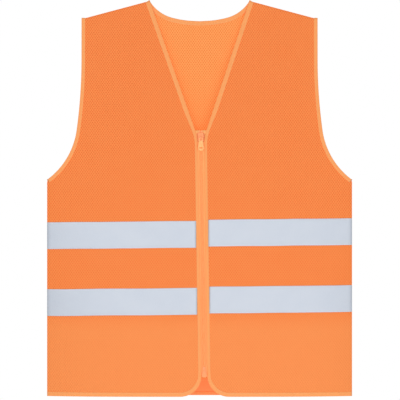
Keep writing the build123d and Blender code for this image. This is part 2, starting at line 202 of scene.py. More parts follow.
def front_edge(side):
    """One bound front edge: down the V, beside the zip, round the corner."""
    neck = Vector((side * NECK_HALF_WIDTH, 0))
    bend = Vector((zip_x(EDGE_BEND_DROP) + side * ZIP_EDGE, -EDGE_BEND_DROP))
    foot_drop = LENGTH - CORNER_RADIUS
    foot = Vector((zip_x(foot_drop) + side * ZIP_EDGE, -foot_drop))
    hem_start = Vector((foot.x + side * CORNER_RADIUS, -LENGTH))
    down_v = (bend - neck).normalized()
    down_zip = (foot - bend).normalized()
    reach = V_BEND_RADIUS * math.tan(down_v.angle(down_zip) / 2)
    bend_start, bend_end = bend - down_v * reach, bend + down_zip * reach
    points = [neck] + straight(neck, bend_start)
    points += arc(bend_start, bend_end, down_v, steps=14)
    points += straight(bend_end, foot)
    points += arc(foot, hem_start, down_zip, steps=18)
    return points


def armhole_edge(side):
    """One armhole edge, from the shoulder tip to the underarm."""
    tip = Vector((SHOULDER_HALF_WIDTH, -SHOULDER_DROP))
    middle = Vector((SHOULDER_HALF_WIDTH, ARMHOLE_STRAIGHT_END))
    low = Vector(ARMHOLE_ARC_END)
    underarm = Vector((HALF_WIDTH, -UNDERARM_DROP))
    upright = [tip] + straight(tip, middle)
    slow = arc(middle, low, Vector((0, -1)), steps=40)
    tangent = slow[-1] - slow[-2]
    points = upright + slow + arc(low, underarm, tangent, steps=36)
    return [Vector((side * p.x, p.y)) for p in points]


def half_neck_edge():
    """The left half of the back neck edge, from the middle of the neck to the neck point."""
    middle = Vector((0, -BACK_NECK_DEPTH))
    joint = Vector(BACK_NECK_ARC_END)
    wide = [middle] + arc(middle, joint, Vector((1, 0)), steps=16)
    tangent = wide[-1] - wide[-2]
    return wide + arc(joint, Vector((NECK_HALF_WIDTH, 0)), tangent, steps=14)


def back_neck_edge():
    """The back neck edge, from the right neck point to the left one."""
    left_half = half_neck_edge()
    right_half = [Vector((-p.x, p.y)) for p in reversed(left_half[1:])]
    return right_half + left_half


def crossing(points, height):
    """x at which a falling line of points passes a height."""
    for a, b in zip(points, points[1:]):
        if b.y <= height <= a.y and a.y > b.y:
            return a.x + (b.x - a.x) * (a.y - height) / (a.y - b.y)
    return points[-1].x if height < points[-1].y else points[0].x


FRONT_EDGES = {side: front_edge(side) for side in (LEFT, RIGHT)}
ARMHOLE_EDGES = {side: armhole_edge(side) for side in (LEFT, RIGHT)}


def outer_x(height):
    """Half width of the vest at a height: shoulder line, armhole or side seam."""
    if height > -SHOULDER_DROP:
        along = -height / SHOULDER_DROP
        return NECK_HALF_WIDTH + along * (SHOULDER_HALF_WIDTH - NECK_HALF_WIDTH)
    if height > -UNDERARM_DROP:
        return crossing(ARMHOLE_EDGES[LEFT], height)
    return HALF_WIDTH


# The surface that the cloth lies on
def seam_closeness(x, z):
    """1 on a side or shoulder seam, 0 from SEAM_REACH inside it, and 0 under the bindings."""
    far = 1.0
    side_gap = HALF_WIDTH - abs(x) if z < -UNDERARM_DROP - ARMHOLE_BINDING else far
    slope = SHOULDER_DROP / (SHOULDER_HALF_WIDTH - NECK_HALF_WIDTH)
    shoulder_z = -max(0.0, abs(x) - NECK_HALF_WIDTH) * slope
    covered = abs(x) < NECK_HALF_WIDTH + NECK_BINDING
    covered = covered or abs(x) > SHOULDER_HALF_WIDTH - ARMHOLE_BINDING
    shoulder_gap = far if covered else shoulder_z - z
    return 1 - smooth(min(side_gap, shoulder_gap), 0.0, SEAM_REACH)


def ripple(face, x, z):
    """Slight unevenness of hanging cloth, zero at the neck points' height and at the side seams."""
    held = smooth(-z, 0.0, 0.10) * smooth(HALF_WIDTH - abs(x), 0.0, 0.05)
    spot = Vector((x * 7, face * 4.3, z * 4))
    return RIPPLE * held * noise.noise(spot)


def cloth_point(face, x, z, out=0.0):
    """Point on the front or back cloth, a set distance out from its middle surface."""
    base = SHEET_OUT * (1 - SEAM_PINCH * seam_closeness(x, z)) + ripple(face, x, z)
    return Vector((x, face * (swell(x, z) + base + out), z))


# Mesh helpers
def add_mesh(name, vertices, faces, uvs, material):
    """Mesh object with a UV map in metres along the cloth, from one (u, v) for each vertex."""
    mesh = bpy.data.meshes.new(name)
    mesh.from_pydata(vertices, [], faces)
    layer = mesh.uv_layers.new(name="cloth")
    for loop in mesh.loops:
        layer.data[loop.index].uv = uvs[loop.vertex_index]
    mesh.polygons.foreach_set("use_smooth", [True] * len(mesh.polygons))
    mesh.materials.append(material)
    mesh.update()
    item = bpy.data.objects.new(name, mesh)
    bpy.context.scene.collection.objects.link(item)
    return item


def turned(faces):
    """The same faces seen from their other side."""
    return [tuple(reversed(face)) for face in faces]


def grid_faces(rows, columns, wrap=False):
    """Quads between the points of a grid stored row by row; wrap joins the last column to the first."""
    faces = []
    for i in range(rows - 1):
        upper, lower = i * columns, (i + 1) * columns
        for j in range(columns if wrap else columns - 1):
            k = (j + 1) % columns
            faces.append((upper + j, upper + k, lower + k, lower + j))
    return faces


def tube_faces(rings, count):
    """Faces of a closed tube of rings of count points each, with both ends filled."""
    first = range(count)
    last = range((rings - 1) * count, rings * count)
    return grid_faces(rings, count, wrap=True) + [tuple(reversed(first)), tuple(last)]


def column_places(start, end, count):
    """Evenly spaced values of x from start to end."""
    return [start + (end - start) * i / count for i in range(count + 1)]


def stretched_x(x):
    """Distance from the middle, with the zone of the fold drawn out."""
    margin = 0.001
    return x + FOLD_STRETCH * smooth(x, FOLD_INNER - margin, FOLD_OUTER + margin)


def fold_columns(start, end, count=FRONT_COLUMNS):
    """Values of x from start to end on one side, packed closely where the fold bends the cloth."""
    side = 1 if end > 0 else -1
    halvings = 18
    places = [start]
    for share in column_places(stretched_x(side * start), stretched_x(side * end), count)[1:-1]:
        low, high = side * places[-1], side * end
        for _ in range(halvings):
            middle = (low + high) / 2
            if stretched_x(middle) < share:
                low = middle
            else:
                high = middle
        places.append(side * (low + high) / 2)
    return places + [end]


def row_heights():
    """Heights of the rows of a panel: close together at the shoulders and the hem corners."""
    shoulder_rows, middle_rows, corner_rows = 40, 132, 28
    heights = {0.0, -LENGTH}
    heights.update(-SHOULDER_ROW * i for i in range(1, shoulder_rows))
    heights.update(-SHOULDER_ROW * shoulder_rows - MIDDLE_ROW * i for i in range(middle_rows))
    heights.update(-LENGTH + CORNER_ROW * i for i in range(corner_rows))
    return sorted(heights, reverse=True)


# Panels
def front_panel(side, material):
    """One front of mesh in one piece, from its bound edge to the side seam, and over the fold."""
    heights = row_heights()
    neck_corner = 2 * SHOULDER_ROW
    vertices, uvs = [], []
    for height in heights:
        inner = crossing(FRONT_EDGES[side], height) + side * PANEL_INSET
        outer = side * (outer_x(height) - (PANEL_INSET if -height < UNDERARM_DROP else 0.0))
        if side * (outer - inner) < 0:
            outer = inner
        if height > -neck_corner:
            inner = side * (NECK_HALF_WIDTH - PANEL_INSET)
        for x in fold_columns(inner, outer):
            vertices.append(cloth_point(FRONT, x, height))
            uvs.append((x, height))
    faces = grid_faces(len(heights), FRONT_COLUMNS + 1)
    if side == LEFT:
        faces = turned(faces)
    return add_mesh(f"front_cloth_{SIDE_NAMES[side]}", vertices, faces, uvs, material)


def back_panel(material):
    """The back of mesh: full rows below the neck edge, and a wing up to the shoulder on each side."""
    neck_row = -BACK_NECK_DEPTH - NECK_INSET
    heights = [neck_row] + [h for h in row_heights() if h < -BACK_NECK_DEPTH]
    vertices, uvs = [], []
    for height in heights:
        half = outer_x(height) - (PANEL_INSET if -height < UNDERARM_DROP else 0.0)
        for x in column_places(-half, half, BACK_COLUMNS):
            vertices.append(cloth_point(BACK, x, height))
            uvs.append((x, height))
    faces = turned(grid_faces(len(heights), BACK_COLUMNS + 1))

    falling_neck = half_neck_edge()[::-1]
    wing_heights = [h for h in row_heights() if h >= -BACK_NECK_DEPTH] + [neck_row]
    for side in (LEFT, RIGHT):
        first = len(vertices)
        for height in wing_heights:
            inner = crossing(falling_neck, height) if height > -BACK_NECK_DEPTH else 0.0
            outer = max(inner, outer_x(height) - NECK_INSET)
            for x in column_places(inner, outer, WING_COLUMNS):
                vertices.append(cloth_point(BACK, side * x, height))
                uvs.append((side * x, height))
        wing = grid_faces(len(wing_heights), WING_COLUMNS + 1)
        if side == LEFT:
            wing = turned(wing)
        faces += [tuple(first + i for i in face) for face in wing]
    return add_mesh("back_cloth", vertices, faces, uvs, material)


# Bindings
def sweep(name, places, profile, material, closed=False):
    """Closed profile swept along places, each (point, inward, outward, distance along).

    The profile's points are (inward, outward) in metres. UVs are (distance along, girth)."""
    girth = [0.0]
    for a, b in zip(profile, profile[1:]):
        girth.append(girth[-1] + math.dist(a, b))
    vertices, uvs = [], []
    for point, inward, outward, along in places:
        for (d, n), g in zip(profile, girth):
            vertices.append(point + inward * d + outward * n)
            uvs.append((along, g))
    rows, columns = len(places), len(profile)
    if closed:
        last = (rows - 1) * columns
        faces = grid_faces(rows, columns, wrap=True)
        for j in range(columns):
            k = (j + 1) % columns
            faces.append((last + j, last + k, k, j))
    else:
        faces = tube_faces(rows, columns)
    return add_mesh(name, vertices, faces, uvs, material)


def binding_profile(width):
    """Cross section of a folded binding, round the edge of the cloth and flat on both faces."""
    half = BINDING_HALF
    lip = 0.0003
    steps = 6
    outer_face = [(width, 0.35 * half), (width - lip, 0.8 * half)]
    for i in range(1, steps):
        rise = 0.92 + 0.16 * math.sin(math.pi * i / steps)
        outer_face.append((width - width * i / steps, half * rise))
    nose = []
    for i in range(steps + 1):
        angle = math.pi / 2 - math.pi * i / steps
        nose.append((0.9 * half * (1 - math.cos(angle)), half * math.sin(angle)))
    inner_face = [(d, -n) for d, n in reversed(outer_face)]
    return outer_face + nose + inner_face


def binding_girth(width):
    """Distance round the open side of a binding's profile."""
    profile = binding_profile(width)
    return sum(math.dist(a, b) for a, b in zip(profile, profile[1:]))


def turned_left(direction):
    """A direction of the front view, turned a quarter turn to the left."""
    return Vector((-direction.y, direction.x))


def turned_right(direction):
    """A direction of the front view, turned a quarter turn to the right."""
    return Vector((direction.y, -direction.x))


def edge_places(points, face, inward_of):
    """Places for a sweep along an edge of the cloth; inward_of gives the way into the cloth."""
    probe = 0.002
    places, along = [], 0.0
    previous = None
    for i, p in enumerate(points):
        before, after = points[max(0, i - 1)], points[min(len(points) - 1, i + 1)]
        into = inward_of((after - before).normalized())
        here = cloth_point(face, p.x, p.y)
        step = cloth_point(face, p.x + into.x * probe, p.y + into.y * probe)
        inward = (step - here).normalized()
        outward = Vector((0, face, 0))
        outward = (outward - inward * outward.dot(inward)).normalized()
        if previous is not None:
            along += (here - previous).length
        previous = here
        places.append((here, inward, outward, along))
    return places


def turned_over(first, last, steps):
    """Places that carry a binding over a seam, from the last place on one face to the first on the other."""
    bulge_share = 0.6
    p0, d0, n0, along = first
    p1, d1, n1, _ = last
    centre = (p0 + p1) / 2
    half = (p1 - p0) / 2
    bulge = Vector((0, 0, half.length)) if abs(d0.x) > 0.5 else -d0 * half.length
    places = []
    for i in range(1, steps):
        angle = math.pi * i / steps
        point = centre - half * math.cos(angle) + bulge * math.sin(angle) * bulge_share
        inward = d0.lerp(d1, i / steps).normalized()
        outward = -half.normalized() * math.cos(angle) + bulge.normalized() * math.sin(angle)
        outward = (outward - inward * outward.dot(inward)).normalized()
        places.append((point, inward, outward, along + half.length * angle / 2))
    return places


def front_edge_width(z):
    """Width of a front edge binding at a height."""
    corner_top = LENGTH - 1.3 * CORNER_RADIUS
    on_v = (V_BINDING - ZIP_BINDING) * smooth(z, -V_DEPTH, -0.8 * V_DEPTH)
    at_hem = (HEM_EDGE_BINDING - ZIP_BINDING) * smooth(-z, corner_top, LENGTH)
    return ZIP_BINDING + on_v + at_hem


def front_edge_binding(side, material):
    """Binding down the V, beside the zip, round the corner and along the hem to the side seam."""
    edge = FRONT_EDGES[side]
    hem = [Vector((x, -LENGTH)) for x in fold_columns(edge[-1].x, side * HALF_WIDTH)[1:]]
    into = turned_left if side == LEFT else turned_right
    places = []
    for point, inward, outward, along in edge_places(edge + hem, FRONT, into):
        stretch = front_edge_width(point.z) / FRONT_EDGE_BINDING
        places.append((point, inward * stretch, outward, along))
    profile = binding_profile(FRONT_EDGE_BINDING)
    return sweep(f"front_binding_{SIDE_NAMES[side]}", places, profile, material)


def over_shoulder(place, side):
    """Places that carry the neck binding from its end on the back over a shoulder seam."""
    _, inward, outward, along = place
    shoulder = cloth_point(FRONT, side * NECK_HALF_WIDTH, 0.0)
    return turned_over(place, (shoulder, inward, -outward, along), 6)


def neck_binding(material):
    """Binding round the back neck, which dips over both shoulder seams to meet the front ones."""
    places = edge_places(back_neck_edge(), BACK, turned_right)
    left_end = over_shoulder(places[-1], LEFT)
    right_end = [(p, d, n, -a) for p, d, n, a in reversed(over_shoulder(places[0], RIGHT))]
    profile = binding_profile(NECK_BINDING)
    return sweep("back_neck_binding", right_end + places + left_end, profile, material)


def hem_binding(material):
    """Binding along the back hem, from side seam to side seam."""
    start, end = Vector((-HALF_WIDTH, -LENGTH)), Vector((HALF_WIDTH, -LENGTH))
    points = [start] + straight(start, end, MIDDLE_ROW)
    places = edge_places(points, BACK, turned_left)
    return sweep("back_hem_binding", places, binding_profile(HEM_BINDING), material)


def armhole_binding(side, material):
    """Binding right round one armhole, over the shoulder tip and under the arm."""
    edge = ARMHOLE_EDGES[side]
    into = turned_right if side == LEFT else turned_left
    front = edge_places(edge, FRONT, into)
    total = front[-1][3]
    back = [(p, d, n, 2 * total - a) for p, d, n, a in reversed(edge_places(edge, BACK, into))]
    under = turned_over(front[-1], back[0], 5)
    over = turned_over(back[-1], front[0], 5)
    places = front + under + back + over
    profile = binding_profile(ARMHOLE_BINDING)
    return sweep(f"armhole_edging_{SIDE_NAMES[side]}", places, profile, material, closed=True)


# Reflective bands
def band_strip(name, face, columns, top, material, tilt=0.0):
    """Reflective tape laid on the cloth along columns of x, with its long edges sewn down."""
    rim = 0.0004
    strips = 16
    across = [0.0, rim] + [BAND_WIDTH * i / strips for i in range(1, strips)]
    across += [BAND_WIDTH - rim, BAND_WIDTH]
    half = BAND_THICKNESS / 2
    vertices, uvs = [], []
    for x in columns:
        waver = 0.0005 * noise.noise(Vector((x * 14, face * 3.0, top * 9)))
        for level in (half, -half):
            for v in across if level > 0 else across[::-1]:
                edge_gap = min(v, BAND_WIDTH - v)
                puff = 0.00012 * smooth(edge_gap, 0.0, 0.004)
                thin = 0.4 + 0.6 * smooth(edge_gap, 0.0, 0.0006)
                z = top - v + tilt * x + waver
                out = BAND_OUT + level * thin + (puff if level > 0 else 0.0)
                vertices.append(cloth_point(face, x, z, out))
                uvs.append((x, v))
    faces = tube_faces(len(columns), 2 * len(across))
    return add_mesh(name, vertices, faces, uvs, material)


def front_band(side, level, material):
    """One front band, from the edge binding to the side seam."""
    drop = BAND_DROPS[level] + (RIGHT_BAND_SAG if side == RIGHT else 0.0)
    start = zip_x(drop + BAND_WIDTH / 2) + side * (ZIP_EDGE + ZIP_BINDING)
    columns = fold_columns(start, side * HALF_WIDTH)
    name = f"front_tape_{level}_{SIDE_NAMES[side]}"
    return band_strip(name, FRONT, columns, -drop, material, FRONT_BAND_TILT)


def back_band(level, material):
    """One band right across the back."""
    columns = column_places(-HALF_WIDTH, HALF_WIDTH, BACK_BAND_COLUMNS)
    return band_strip(f"back_tape_{level}", BACK, columns, -BAND_DROPS[level], material)


# Zip
def zip_frame():
    """Origin and directions of the zip: across it, up along it, out of the front, and its length."""
    slope = HEM_DEPTH / LENGTH
    top = Vector((zip_x(V_DEPTH), -V_DEPTH * slope, -V_DEPTH))
    bottom = Vector((zip_x(ZIP_BOTTOM_DROP), -ZIP_BOTTOM_DROP * slope, -ZIP_BOTTOM_DROP))
    up = (top - bottom).normalized()
    outward = Vector((1, 0, 0)).cross(up).normalized()
    return top, up.cross(outward), up, outward, (top - bottom).length


ZIP_TOP, ZIP_ACROSS, ZIP_UP, ZIP_OUT, ZIP_LENGTH = zip_frame()


def zip_point(across, up, out):
    """Point measured in the zip's own directions."""
    return ZIP_TOP + ZIP_ACROSS * across + ZIP_UP * up + ZIP_OUT * out


def tube_mesh(path, radius, sides):
    """Vertices, faces and UVs of a thin tube along a path of points."""
    vertices, uvs = [], []
    along = 0.0
    reference = Vector((0.13, 0.31, 0.94)).normalized()  # never along any of the paths
    for i, p in enumerate(path):
        before, after = path[max(0, i - 1)], path[min(len(path) - 1, i + 1)]
        tangent = (after - before).normalized()
        first = tangent.cross(reference).normalized()
        second = tangent.cross(first)
        if i:
            along += (p - path[i - 1]).length
        for j in range(sides):
            angle = 2 * math.pi * j / sides
            vertices.append(p + (first * math.cos(angle) + second * math.sin(angle)) * radius)
            uvs.append((along, radius * angle))
    return vertices, tube_faces(len(path), sides), uvs


def zip_coil(side, material):
    """Half of the coil: one nylon wire wound in flat loops that pass between those of the other half."""
    low, high = COIL_LEVELS
    middle_level, half_level = (low + high) / 2, (high - low) / 2
    middle, half = (COIL_OUTER - COIL_REACH) / 2, (COIL_OUTER + COIL_REACH) / 2
    start = -COIL_START - (COIL_PITCH / 2 if side == RIGHT else 0.0)
    turns = int((COIL_END - COIL_START) / COIL_PITCH)
    per_turn = 10
    path = []
    for i in range(turns * per_turn + 1):
        angle = 2 * math.pi * i / per_turn
        across = side * (middle - half * math.cos(angle))
        up = start - COIL_PITCH * (i / per_turn)
        out = middle_level + half_level * math.sin(angle)
        path.append(zip_point(across, up, out))
    vertices, faces, uvs = tube_mesh(path, WIRE_RADIUS, sides=6)
    return add_mesh(f"zip_wire_{SIDE_NAMES[side]}", vertices, faces, uvs, material)


def zip_tape(side, material):
    """Woven zip tape, thicker where the cord runs along its inner edge."""
    inner, outer = TAPE_SPAN
    columns = column_places(inner, outer, 12)
    length = ZIP_LENGTH + TAPE_ABOVE
    rows = round(length / OUTLINE_STEP)
    vertices, uvs = [], []
    for i in range(rows + 1):
        up = TAPE_ABOVE - length * i / rows
        waver = 0.00005 * math.sin(up * 2 * math.pi / 0.012)
        for level in (1, -1):
            for x in columns if level > 0 else columns[::-1]:
                cord = 1 + 0.5 * (1 - smooth(x, inner, inner + TAPE_CORD_WIDTH))
                out = TAPE_LEVEL + level * TAPE_THICKNESS / 2 * cord + waver
                vertices.append(zip_point(side * x, up, out))
                uvs.append((side * x, up))
    faces = tube_faces(rows + 1, 2 * len(columns))
    return add_mesh(f"zip_ribbon_{SIDE_NAMES[side]}", vertices, faces, uvs, material)


# Overlocked seams
def seam_ridge(name, start, end, inward, material):
    """Turned-in allowance of a seam: a flat folded ridge."""
    length, along = (end - start).length, (end - start).normalized()
    corners = 12
    profile = []
    for i in range(corners):
        angle = 2 * math.pi * i / corners
        profile.append((SEAM_ALLOWANCE / 2 * (1 - math.cos(angle)), SEAM_HALF * math.sin(angle)))
    rows = round(length / SEAM_ROW)
    places = []
    for i in range(rows + 1):
        point = start.lerp(end, i / rows)
        lean = 0.0004 * noise.noise(point * 60)
        outward = (Vector((0, 1, 0)) + along * lean).normalized()
        places.append((point, inward, outward, length * i / rows))
    return sweep(name, places, profile, material)


def seam_thread(name, start, end, inward, material):
    """Overlock thread wound round the inner edge of a seam allowance."""
    along = (end - start).normalized()
    per_turn = 8
    turns = int((end - start).length / THREAD_PITCH)
    path = []
    for i in range(turns * per_turn + 1):
        angle = 2 * math.pi * i / per_turn
        point = start + along * (THREAD_PITCH * i / per_turn)
        reach = SEAM_ALLOWANCE * (0.62 - 0.40 * math.cos(angle))
        path.append(point + inward * reach + Vector((0, THREAD_OUT * math.sin(angle), 0)))
    vertices, faces, uvs = tube_mesh(path, THREAD_RADIUS, sides=5)
    return add_mesh(f"{name}_thread", vertices, faces, uvs, material)


def side_seam(side, material):
    """Seam allowance of one side, between the armhole and the hem binding, and its thread."""
    x = side * (HALF_WIDTH - SEAM_SET_IN)
    start = Vector((x, 0, -UNDERARM_DROP - 2 * ARMHOLE_BINDING))
    end = Vector((x, 0, -LENGTH + HEM_BINDING + SEAM_GAP))
    line = (f"side_overlock_{SIDE_NAMES[side]}", start, end, Vector((-side, 0, 0)), material)
    return seam_ridge(*line), seam_thread(*line)


def shoulder_seam(side, material):
    """Seam allowance of one shoulder, between the neck and armhole bindings, and its thread."""
    neck = Vector((side * NECK_HALF_WIDTH, 0, 0))
    tip = Vector((side * SHOULDER_HALF_WIDTH, 0, -SHOULDER_DROP))
    along = (tip - neck).normalized()
    inward = along.cross(Vector((0, 1, 0)))
    inward = inward if inward.z < 0 else -inward
    start = neck + along * (NECK_BINDING + SEAM_GAP) + inward * SEAM_SET_IN
    end = tip - along * (ARMHOLE_BINDING + SEAM_GAP) + inward * SEAM_SET_IN
    line = (f"shoulder_overlock_{SIDE_NAMES[side]}", start, end, inward, material)
    return seam_ridge(*line), seam_thread(*line)


# Materials: each is a small node tree, built through this helper.
class Shader:
    """Short ways to add and join the nodes of one material."""

    def __init__(self, name, colour, roughness):
        self.material = bpy.data.materials.new(name)
        self.material.use_nodes = True
        self.material.diffuse_color = (*colour, 1)
        self.tree = self.material.node_tree
        self.surface = self.tree.nodes["Principled BSDF"]
        self.surface.inputs["Base Color"].default_value = (*colour, 1)
        self.surface.inputs["Roughness"].default_value = roughness

    def set(self, **values):
        """Sets inputs of the surface; a name's underscore stands for a space."""
        for name, value in values.items():
            self.surface.inputs[name.replace("_", " ")].default_value = value

    def add(self, kind, **settings):
        """New node with its settings."""
        node = self.tree.nodes.new(kind)
        for key, value in settings.items():
            setattr(node, key, value)
        return node

    def join(self, output, target):
        """Link from an output to an input."""
        self.tree.links.new(output, target)

    def put(self, value, target):
        """Number or output into an input."""
        if isinstance(value, (int, float)):
            target.default_value = value
        else:
            self.join(value, target)

    def math(self, operation, first, second=0.0, third=0.0):
        """Result of one step of arithmetic."""
        node = self.add("ShaderNodeMath", operation=operation)
        for value, socket in zip((first, second, third), node.inputs):
            self.put(value, socket)
        return node.outputs[0]

    def times(self, first, second):
        """Product of two values."""
        return self.math("MULTIPLY", first, second)

    def cloth_uv(self):
        """The cloth's coordinates in metres, together and one by one."""
        source = self.add("ShaderNodeUVMap", uv_map="cloth")
        split = self.add("ShaderNodeSeparateXYZ")
        self.join(source.outputs["UV"], split.inputs[0])
        return source.outputs["UV"], split.outputs["X"], split.outputs["Y"]

    def mix(self, share, first, second):
        """Blend of two colours, each an output or a plain (r, g, b)."""
        node = self.add("ShaderNodeMix", data_type="RGBA")
        self.put(share, node.inputs[0])
        for value, socket in ((first, node.inputs[6]), (second, node.inputs[7])):
            if isinstance(value, tuple):
                socket.default_value = (*value, 1)
            else:
                self.join(value, socket)
        return node.outputs[2]

    def step(self, value, low, high):
        """Smooth step of a value between two levels."""
        node = self.add("ShaderNodeMapRange", interpolation_type="SMOOTHSTEP")
        for item, socket in zip((value, low, high), node.inputs):
            self.put(item, socket)
        return node.outputs[0]

    def wave(self, coordinate, pitch):
        """Cosine of a coordinate with a pitch in metres, from -1 to 1."""
        return self.math("COSINE", self.times(coordinate, 2 * math.pi / pitch))

    def noise(self, vector, scale, detail=2.0):
        """Cloudy value from 0 to 1."""
        node = self.add("ShaderNodeTexNoise")
        node.inputs["Scale"].default_value = scale
        node.inputs["Detail"].default_value = detail
        self.join(vector, node.inputs["Vector"])
        return node.outputs["Fac"]

    def stitches(self, along, across, place, pitch):
        """Dashes of sewing thread at one distance across a seam: 1 on the thread, 0 elsewhere."""
        half_width = 0.0003
        offset = self.math("ABSOLUTE", self.math("SUBTRACT", across, place))
        line = self.math("LESS_THAN", offset, half_width)
        dash = self.math("GREATER_THAN", self.wave(along, pitch), -0.35)
        return self.times(line, dash)

    def colour(self, colour, glow):
        """Surface colour, with a share of it given off as a glow, as fluorescent dye does; on the vest this
        glow is painted light that lifts the shade.
        """
        self.join(colour, self.surface.inputs["Base Color"])
        if glow:
            self.join(colour, self.surface.inputs["Emission Color"])
            self.surface.inputs["Emission Strength"].default_value = glow

    def bump(self, height, strength, distance):
        """Fine relief of the surface."""
        node = self.add("ShaderNodeBump")
        node.inputs["Strength"].default_value = strength
        node.inputs["Distance"].default_value = distance
        self.join(height, node.inputs["Height"])
        self.join(node.outputs["Normal"], self.surface.inputs["Normal"])


def tinted(colour, red, green, blue):
    """A colour with each channel scaled."""
    return red * colour[0], green * colour[1], blue * colour[2]


def mesh_fabric(name, bright, glow, pale_share, hem_share):
    """Warp-knitted mesh: a lattice of small diamond holes painted darker as painted shade, closed where the
    hem is turned up double, and painted darker and redder there as painted shade.
    """
    hole_shade = tinted(bright, 0.84, 0.42, 0.09)
    patchy = tinted(bright, 1.0, 1.17, 1.60)
    pale = tinted(bright, 1.0, 1.36, 2.13)
    doubled_shade = tinted(bright, 1.0, 0.80, 1.15)
    hem_top = -LENGTH + TURNED_HEM
    shader = Shader(name, bright, 0.62)
    vector, x, z = shader.cloth_uv()
    lattice = shader.math("ADD", shader.wave(x, MESH_WIDTH), shader.wave(z, MESH_HEIGHT))
    openness = shader.times(shader.math("ABSOLUTE", lattice), 0.5)
    doubled = shader.times(shader.step(z, hem_top + 0.003, hem_top), hem_share)
    single = shader.math("SUBTRACT", 1.0, doubled)
    hole = shader.times(shader.step(openness, 0.30, 0.80), single)
    patch = shader.noise(vector, 26.0)
    fine = shader.noise(vector, 900.0, 3.0)
    low_down = shader.step(z, LOWER_CLOTH + 0.05, LOWER_CLOTH)
    sewn = shader.stitches(x, z, hem_top - 0.002, 0.004)
    depth = shader.math("MULTIPLY_ADD", hole, 0.85, shader.times(fine, 0.10))
    # painted shade: the holes take a darker colour, for the dim space seen through them
    colour = shader.mix(depth, bright, hole_shade)
    colour = shader.mix(shader.times(patch, 0.18), colour, patchy)
    colour = shader.mix(shader.times(low_down, pale_share), colour, pale)
    # painted shade: the doubled hem is darker and redder, for the light the double layer holds back and the
    # shade of the fronts
    colour = shader.mix(doubled, colour, doubled_shade)
    colour = shader.mix(shader.times(sewn, hem_share), colour, pale)
    shader.colour(colour, glow)
    shader.set(Sheen_Weight=0.2, Sheen_Roughness=0.5)
    shader.bump(shader.math("SUBTRACT", shader.times(fine, 0.3), hole), 0.5, 0.0005)
    return shader.material


def binding_tape(name, width):
    """Soft woven binding with fine cross ribs and a row of stitches near each inner edge."""
    base, shade, thread_colour = (1.0, 0.400, 0.112), (0.97, 0.310, 0.075), (1.0, 0.50, 0.20)
    stitch_inset, stitch_pitch = 0.0018, 0.0030
    shader = Shader(name, base, 0.55)
    vector, along, girth = shader.cloth_uv()
    rib = shader.wave(along, 0.0011)
    weave = shader.wave(girth, 0.0009)
    patch = shader.noise(vector, 60.0)
    near_row = shader.stitches(along, girth, stitch_inset, stitch_pitch)
    far_row = shader.stitches(along, girth, binding_girth(width) - stitch_inset, stitch_pitch)
    thread = shader.math("MAXIMUM", near_row, far_row)
    depth = shader.math("MULTIPLY_ADD", rib, 0.10, 0.35)
    depth = shader.math("ADD", depth, shader.times(patch, 0.25))
    colour = shader.mix(depth, base, shade)
    colour = shader.mix(shader.times(thread, 0.7), colour, thread_colour)
    shader.colour(colour, CLOTH_PAINTED_GLOW)
    shader.set(Sheen_Weight=0.3)
    height = shader.math("MULTIPLY_ADD", rib, 0.3, shader.times(weave, 0.2))
    height = shader.math("ADD", height, shader.times(thread, 1.6))
    shader.bump(height, 0.5, 0.0002)
    return shader.material


def reflective_tape():
    """Silver retroreflective tape: pale glass-bead surface on grey backing, stitched at both edges."""
    pale, cool = (0.64, 0.69, 0.77), (0.56, 0.62, 0.72)
    bead_colour, thread_colour = (0.80, 0.84, 0.90), (0.78, 0.80, 0.84)
    stitch_inset, stitch_pitch, weave_pitch = 0.0022, 0.0032, 0.0010
    shader = Shader("reflective_tape", pale, 0.42)
    vector, x, v = shader.cloth_uv()
    patch = shader.noise(vector, 22.0, 3.0)
    beads = shader.noise(vector, 2600.0, 1.0)
    weave = shader.times(shader.wave(x, weave_pitch), shader.wave(v, weave_pitch))
    top_row = shader.stitches(x, v, stitch_inset, stitch_pitch)
    bottom_row = shader.stitches(x, v, BAND_WIDTH - stitch_inset, stitch_pitch)
    thread = shader.math("MAXIMUM", top_row, bottom_row)
    colour = shader.mix(patch, pale, cool)
    colour = shader.mix(shader.times(beads, 0.25), colour, bead_colour)
    colour = shader.mix(shader.times(thread, 0.55), colour, thread_colour)
    shader.colour(colour, 0.0)
    shader.set(Metallic=0.15)
    height = shader.math("MULTIPLY_ADD", weave, 0.25, shader.times(beads, 0.4))
    height = shader.math("ADD", height, shader.times(thread, 1.5))
    shader.bump(height, 0.35, 0.0002)
    return shader.material


def woven_tape():
    """Herringbone zip tape of polyester, a little deeper in colour towards its foot."""
    base, shade, low = (1.0, 0.500, 0.175), (0.97, 0.400, 0.120), (1.0, 0.385, 0.130)
    deeper_from, deeper_to = -0.16, -0.34  # heights up from the top of the zip
    shader = Shader("zipper_tape_weave", base, 0.6)
    vector, x, along = shader.cloth_uv()
    folded = shader.math("PINGPONG", x, 0.0018)
    twill = shader.wave(shader.math("ADD", along, folded), 0.0011)
    patch = shader.noise(vector, 80.0)
    depth = shader.math("MULTIPLY_ADD", twill, 0.25, shader.times(patch, 0.6))
    colour = shader.mix(depth, base, shade)
    lower_part = shader.times(shader.step(along, deeper_from, deeper_to), 0.8)
    # painted light: twice the cloth's glow lifts the shade where the zip lies between the bindings
    shader.colour(shader.mix(lower_part, colour, low), 2 * CLOTH_PAINTED_GLOW)
    shader.set(Sheen_Weight=0.2)
    shader.bump(twill, 0.4, 0.0002)
    return shader.material


def nylon():
    """Smooth dyed nylon of the coil."""
    base, shade = (1.0, 0.490, 0.180), (0.99, 0.400, 0.130)
    shader = Shader("coil_nylon", base, 0.34)
    vector = shader.cloth_uv()[0]
    streak = shader.noise(vector, 320.0, 3.0)
    # painted light: twice the cloth's glow lifts the shade where the zip lies between the bindings
    shader.colour(shader.mix(streak, base, shade), 2 * CLOTH_PAINTED_GLOW)
    shader.set(Coat_Weight=0.15)
    shader.bump(streak, 0.2, 0.0001)
    return shader.material


